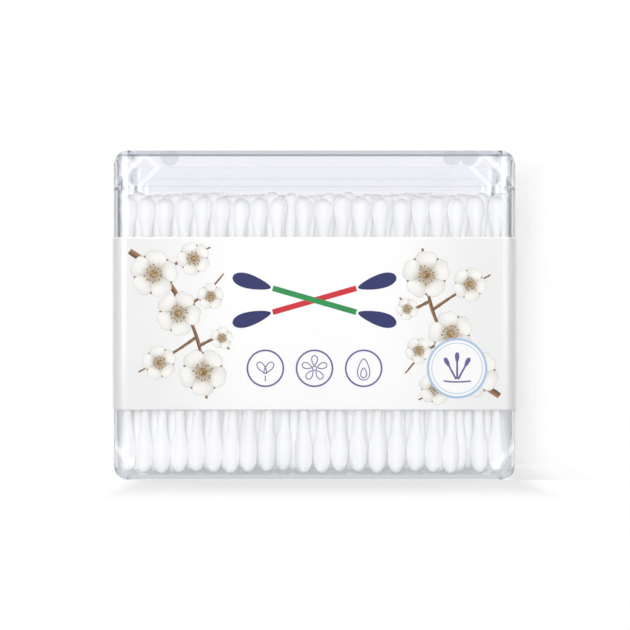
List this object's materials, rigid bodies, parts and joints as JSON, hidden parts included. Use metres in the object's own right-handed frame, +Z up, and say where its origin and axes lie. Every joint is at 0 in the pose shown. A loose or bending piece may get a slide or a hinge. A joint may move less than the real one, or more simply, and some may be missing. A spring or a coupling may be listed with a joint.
{
  "type": "cotton swab tub",
  "caption": "Clear hinged-lid plastic box with rounded corners, packed with rows of upright cotton swabs, with a printed label band round its middle",
  "frame": {"origin": "centre of the bounding box on the surface that the box stands on", "axes": "+X to the right seen from the front, +Y to the back where the hinge is, +Z up"},
  "size_m": [0.1076, 0.048, 0.087],
  "materials": {
    "clear_plastic": "clear polished styrene",
    "label_film": "white satin label stock",
    "twig_ink": "brown print",
    "blossom_ink": "off-white print",
    "eye_ink": "tan print",
    "navy_ink": "navy print",
    "violet_ink": "violet print",
    "badge_ink": "pale blue print",
    "white_stick": "matt white stick",
    "cotton": "soft wound cotton"
  },
  "bodies": {
    "box": {"tub": "clear_plastic", "label_band": "label_film", "print_twigs": "twig_ink", "print_blossoms": "blossom_ink", "print_blossom_eyes": "eye_ink", "print_emblem": "navy_ink", "print_marks": "violet_ink", "print_badge": "badge_ink", "stick_row_01": "white_stick", "stick_row_02": "white_stick", "stick_row_03": "white_stick", "stick_row_04": "white_stick", "stick_row_05": "white_stick", "stick_row_06": "white_stick", "stick_row_07": "white_stick", "stick_row_08": "white_stick", "stick_row_09": "white_stick", "stick_row_10": "white_stick", "cotton_top_01": "cotton", "cotton_top_02": "cotton", "cotton_top_03": "cotton", "cotton_top_04": "cotton", "cotton_top_05": "cotton", "cotton_top_06": "cotton", "cotton_top_07": "cotton", "cotton_top_08": "cotton", "cotton_top_09": "cotton", "cotton_top_10": "cotton", "cotton_foot_01": "cotton", "cotton_foot_02": "cotton", "cotton_foot_03": "cotton", "cotton_foot_04": "cotton", "cotton_foot_05": "cotton", "cotton_foot_06": "cotton", "cotton_foot_07": "cotton", "cotton_foot_08": "cotton", "cotton_foot_09": "cotton", "cotton_foot_10": "cotton"},
    "lid": {"lid": "clear_plastic"}
  },
  "joints": [
    {"name": "lid_hinge", "type": "hinge", "parent": "box", "child": "lid", "pos_m": [0, 0.02275, 0.0776], "axis": [-1, 0, 0], "range_deg": [0, 180]}
  ]
}
